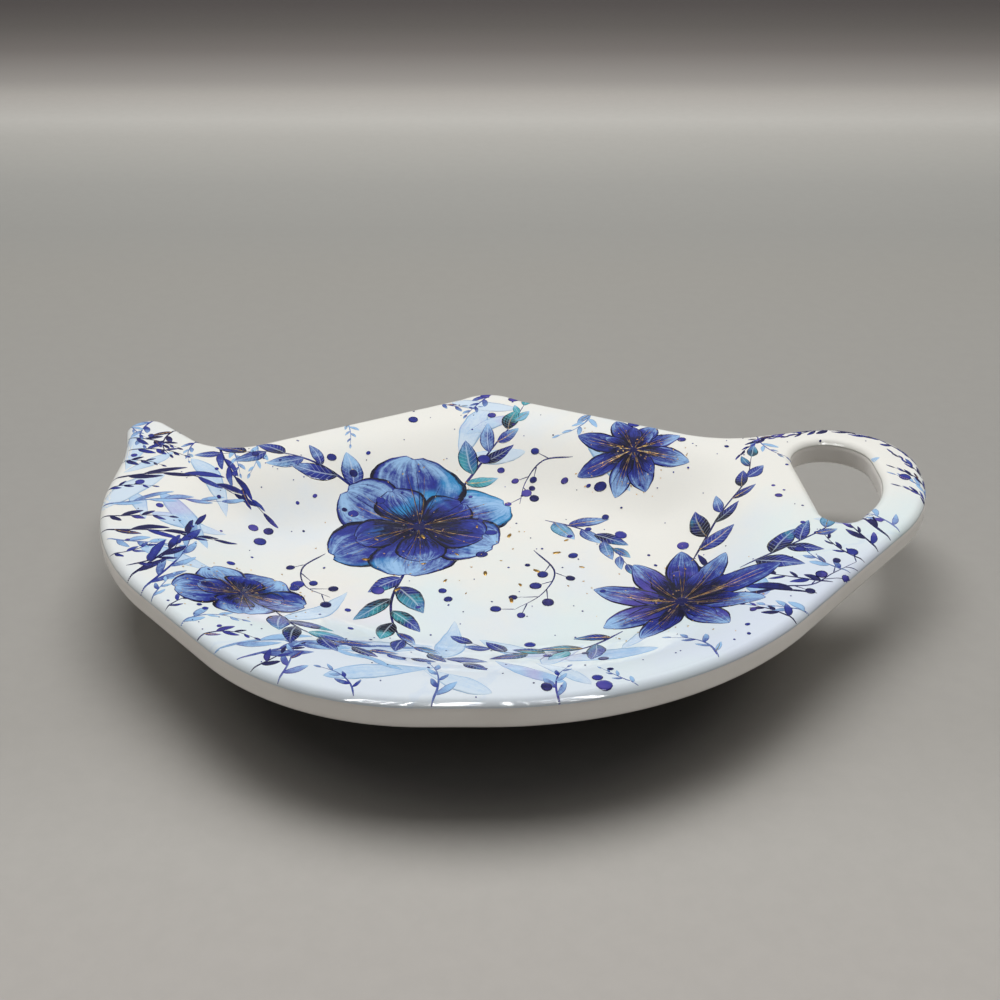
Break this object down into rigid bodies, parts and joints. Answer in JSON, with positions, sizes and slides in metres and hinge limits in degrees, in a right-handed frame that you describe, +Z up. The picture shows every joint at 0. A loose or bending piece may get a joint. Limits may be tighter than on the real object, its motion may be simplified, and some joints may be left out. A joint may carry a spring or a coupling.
{
  "type": "tea bag rest",
  "caption": "Shallow glazed dish with the outline of a teapot, with a spout, a lid knob and an open handle loop, that catches the drips of a used tea bag.",
  "frame": {"origin": "on the table under the middle of the dish's outline, at the underside of the foot ring", "axes": "+X from the spout to the handle loop, +Y to the lid knob, +Z up out of the well"},
  "size_m": [0.132, 0.089, 0.0156],
  "materials": {
    "clay": "white fired clay under the glaze",
    "foot": "bare fired clay, ground flat",
    "glaze": "clear glossy glaze over white clay",
    "print": "blue watercolour print fired under gloss",
    "gold": "fired gold lustre"
  },
  "bodies": {
    "root": {"clay_body": "clay", "foot_ring": "foot", "glaze_coat": "glaze", "face_print": "print", "gold_flecks": "gold"}
  },
  "joints": []
}
